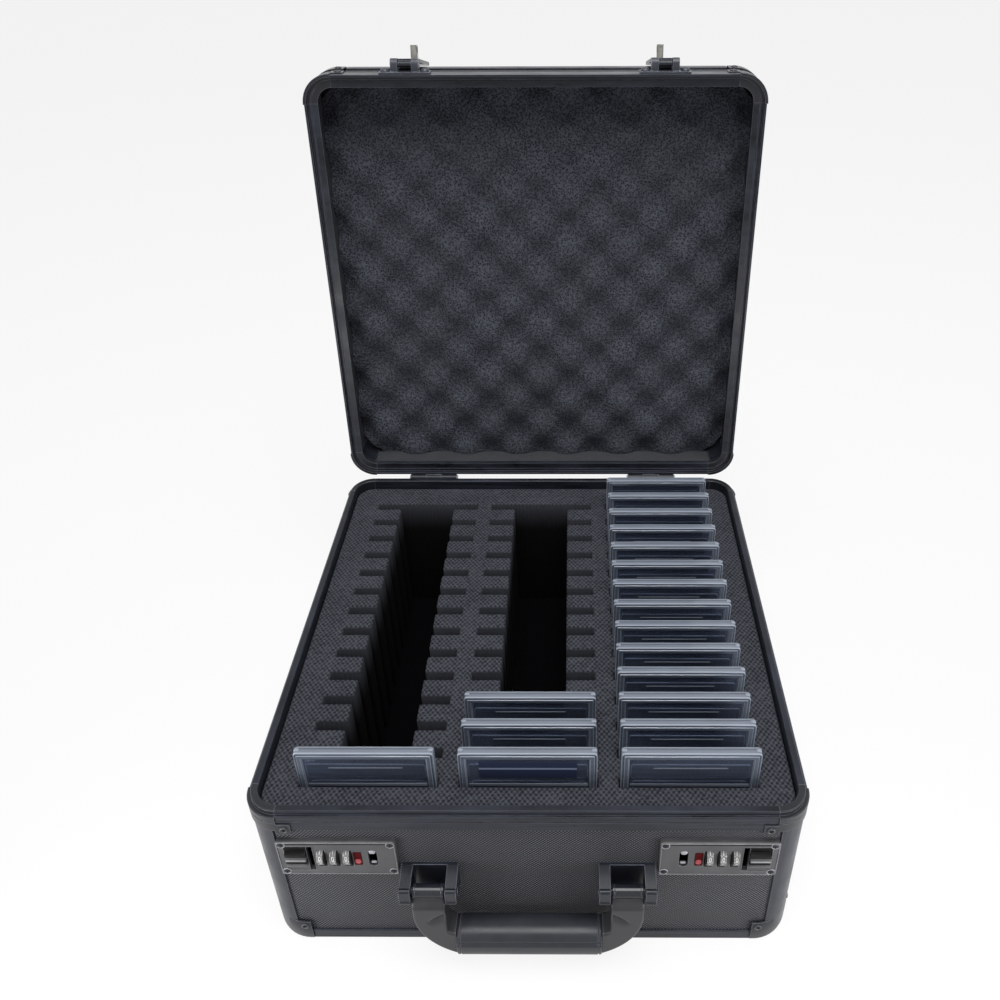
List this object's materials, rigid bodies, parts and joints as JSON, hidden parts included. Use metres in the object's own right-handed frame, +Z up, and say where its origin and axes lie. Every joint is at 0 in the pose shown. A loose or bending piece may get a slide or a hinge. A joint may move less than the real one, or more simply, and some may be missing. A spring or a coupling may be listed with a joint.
{
  "type": "trading card display case",
  "caption": "Square black aluminium-edged case with a slotted foam tray for graded-card holders, padded hinged lid, dial locks with hasps and a folding handle.",
  "frame": {"origin": "middle of the underside, on the surface that the case stands on", "axes": "+Z up, -Y towards the front with the handle and locks, +X to the right seen from the front"},
  "size_m": [0.334, 0.4404, 0.4693],
  "materials": {
    "edge_metal": "black anodised extrusion, satin",
    "corner_metal": "black coated steel, satin",
    "panel": "board faced with black laminate embossed in a fine diamond grain",
    "fastener": "black",
    "foam": "black closed-cell foam with a fine woven emboss",
    "lid_foam": "charcoal convoluted open-cell foam",
    "lock_plastic": "black, satin",
    "lock_case": "black",
    "marker": "red",
    "hardware": "black coated steel",
    "steel": "bright steel",
    "handle_plastic": "black moulded plastic, fine grain",
    "grip": "black moulded plastic, satin",
    "dial": "grey with light numbers",
    "clear_plastic": "clear acrylic with a faint blue tint"
  },
  "bodies": {
    "case": {"base_rim_rails": "edge_metal", "base_rim_corners": "corner_metal", "base_posts": "edge_metal", "base_bottom_rails": "edge_metal", "base_corner_caps": "corner_metal", "base_rivets": "fastener", "base_floor_panel": "panel", "base_front_panel": "panel", "base_wall_panels": "panel", "card_tray": "foam", "tray_pad": "foam", "lock_plates": "lock_plastic", "lock_cases": "lock_case", "lock_markers": "marker", "lock_screws": "fastener", "handle_brackets": "hardware", "hinge_leaves_base": "hardware"},
    "lid": {"lid_rim_rails": "edge_metal", "lid_rim_corners": "corner_metal", "lid_posts": "edge_metal", "lid_top_rails": "edge_metal", "lid_corner_caps": "corner_metal", "lid_rivets": "fastener", "lid_top_panel": "panel", "lid_wall_panels": "panel", "lid_foam": "lid_foam", "hinge_leaves_lid": "hardware", "hasp_brackets": "hardware"},
    "handle": {"handle_frame": "handle_plastic", "handle_grip": "grip"},
    "hasp_left": {"hasp_plate_left": "hardware", "hasp_staple_left": "steel"},
    "hasp_right": {"hasp_plate_right": "hardware", "hasp_staple_right": "steel"},
    "release_left": {"release_left": "lock_plastic"},
    "release_right": {"release_right": "lock_plastic"},
    "dial_left_1": {"dial_left_1": "dial"},
    "dial_left_2": {"dial_left_2": "dial"},
    "dial_left_3": {"dial_left_3": "dial"},
    "dial_right_1": {"dial_right_1": "dial"},
    "dial_right_2": {"dial_right_2": "dial"},
    "dial_right_3": {"dial_right_3": "dial"},
    "holder_left_1": {"holder_left_1": "clear_plastic"},
    "holder_middle_1": {"holder_middle_1": "clear_plastic"},
    "holder_middle_2": {"holder_middle_2": "clear_plastic"},
    "holder_middle_3": {"holder_middle_3": "clear_plastic"},
    "holder_right_1": {"holder_right_1": "clear_plastic"},
    "holder_right_2": {"holder_right_2": "clear_plastic"},
    "holder_right_3": {"holder_right_3": "clear_plastic"},
    "holder_right_4": {"holder_right_4": "clear_plastic"},
    "holder_right_5": {"holder_right_5": "clear_plastic"},
    "holder_right_6": {"holder_right_6": "clear_plastic"},
    "holder_right_7": {"holder_right_7": "clear_plastic"},
    "holder_right_8": {"holder_right_8": "clear_plastic"},
    "holder_right_9": {"holder_right_9": "clear_plastic"},
    "holder_right_10": {"holder_right_10": "clear_plastic"},
    "holder_right_11": {"holder_right_11": "clear_plastic"},
    "holder_right_12": {"holder_right_12": "clear_plastic"},
    "holder_right_13": {"holder_right_13": "clear_plastic"},
    "holder_right_14": {"holder_right_14": "clear_plastic"}
  },
  "joints": [
    {"name": "lid_hinge", "type": "hinge", "parent": "case", "child": "lid", "pos_m": [0, 0.1685, 0.1261], "axis": [-1, 0, 0], "range_deg": [-93.5, 0]},
    {"name": "handle_swing", "type": "hinge", "parent": "case", "child": "handle", "pos_m": [0, -0.177, 0.073], "axis": [-1, 0, 0], "range_deg": [0, 100]},
    {"name": "hasp_left_fold", "type": "hinge", "parent": "lid", "child": "hasp_left", "pos_m": [-0.0921, 0.19771, 0.46445], "axis": [-1, 0, 0], "range_deg": [-190, 0]},
    {"name": "hasp_right_fold", "type": "hinge", "parent": "lid", "child": "hasp_right", "pos_m": [0.0921, 0.19771, 0.46445], "axis": [-1, 0, 0], "range_deg": [-190, 0]},
    {"name": "release_left_slide", "type": "slide", "parent": "case", "child": "release_left", "axis": [1, 0, 0], "range_m": [0, 0.0035], "stiffness_N_per_m": 200, "springref_m": -0.004},
    {"name": "release_right_slide", "type": "slide", "parent": "case", "child": "release_right", "axis": [-1, 0, 0], "range_m": [0, 0.0035], "stiffness_N_per_m": 200, "springref_m": -0.004},
    {"name": "dial_left_1_turn", "type": "hinge", "parent": "case", "child": "dial_left_1", "pos_m": [-0.1069, -0.162, 0.08875], "axis": [1, 0, 0], "continuous": true},
    {"name": "dial_left_2_turn", "type": "hinge", "parent": "case", "child": "dial_left_2", "pos_m": [-0.11475, -0.162, 0.08875], "axis": [1, 0, 0], "continuous": true},
    {"name": "dial_left_3_turn", "type": "hinge", "parent": "case", "child": "dial_left_3", "pos_m": [-0.1226, -0.162, 0.08875], "axis": [1, 0, 0], "continuous": true},
    {"name": "dial_right_1_turn", "type": "hinge", "parent": "case", "child": "dial_right_1", "pos_m": [0.1069, -0.162, 0.08875], "axis": [1, 0, 0], "continuous": true},
    {"name": "dial_right_2_turn", "type": "hinge", "parent": "case", "child": "dial_right_2", "pos_m": [0.11475, -0.162, 0.08875], "axis": [1, 0, 0], "continuous": true},
    {"name": "dial_right_3_turn", "type": "hinge", "parent": "case", "child": "dial_right_3", "pos_m": [0.1226, -0.162, 0.08875], "axis": [1, 0, 0], "continuous": true},
    {"name": "holder_left_1_lift", "type": "slide", "parent": "case", "child": "holder_left_1", "axis": [0, 0, 1], "range_m": [0, 0.14]},
    {"name": "holder_middle_1_lift", "type": "slide", "parent": "case", "child": "holder_middle_1", "axis": [0, 0, 1], "range_m": [0, 0.14]},
    {"name": "holder_middle_2_lift", "type": "slide", "parent": "case", "child": "holder_middle_2", "axis": [0, 0, 1], "range_m": [0, 0.14]},
    {"name": "holder_middle_3_lift", "type": "slide", "parent": "case", "child": "holder_middle_3", "axis": [0, 0, 1], "range_m": [0, 0.14]},
    {"name": "holder_right_1_lift", "type": "slide", "parent": "case", "child": "holder_right_1", "axis": [0, 0, 1], "range_m": [0, 0.14]},
    {"name": "holder_right_2_lift", "type": "slide", "parent": "case", "child": "holder_right_2", "axis": [0, 0, 1], "range_m": [0, 0.14]},
    {"name": "holder_right_3_lift", "type": "slide", "parent": "case", "child": "holder_right_3", "axis": [0, 0, 1], "range_m": [0, 0.14]},
    {"name": "holder_right_4_lift", "type": "slide", "parent": "case", "child": "holder_right_4", "axis": [0, 0, 1], "range_m": [0, 0.14]},
    {"name": "holder_right_5_lift", "type": "slide", "parent": "case", "child": "holder_right_5", "axis": [0, 0, 1], "range_m": [0, 0.14]},
    {"name": "holder_right_6_lift", "type": "slide", "parent": "case", "child": "holder_right_6", "axis": [0, 0, 1], "range_m": [0, 0.14]},
    {"name": "holder_right_7_lift", "type": "slide", "parent": "case", "child": "holder_right_7", "axis": [0, 0, 1], "range_m": [0, 0.14]},
    {"name": "holder_right_8_lift", "type": "slide", "parent": "case", "child": "holder_right_8", "axis": [0, 0, 1], "range_m": [0, 0.14]},
    {"name": "holder_right_9_lift", "type": "slide", "parent": "case", "child": "holder_right_9", "axis": [0, 0, 1], "range_m": [0, 0.14]},
    {"name": "holder_right_10_lift", "type": "slide", "parent": "case", "child": "holder_right_10", "axis": [0, 0, 1], "range_m": [0, 0.14]},
    {"name": "holder_right_11_lift", "type": "slide", "parent": "case", "child": "holder_right_11", "axis": [0, 0, 1], "range_m": [0, 0.14]},
    {"name": "holder_right_12_lift", "type": "slide", "parent": "case", "child": "holder_right_12", "axis": [0, 0, 1], "range_m": [0, 0.14]},
    {"name": "holder_right_13_lift", "type": "slide", "parent": "case", "child": "holder_right_13", "axis": [0, 0, 1], "range_m": [0, 0.14]},
    {"name": "holder_right_14_lift", "type": "slide", "parent": "case", "child": "holder_right_14", "axis": [0, 0, 1], "range_m": [0, 0.14]}
  ]
}
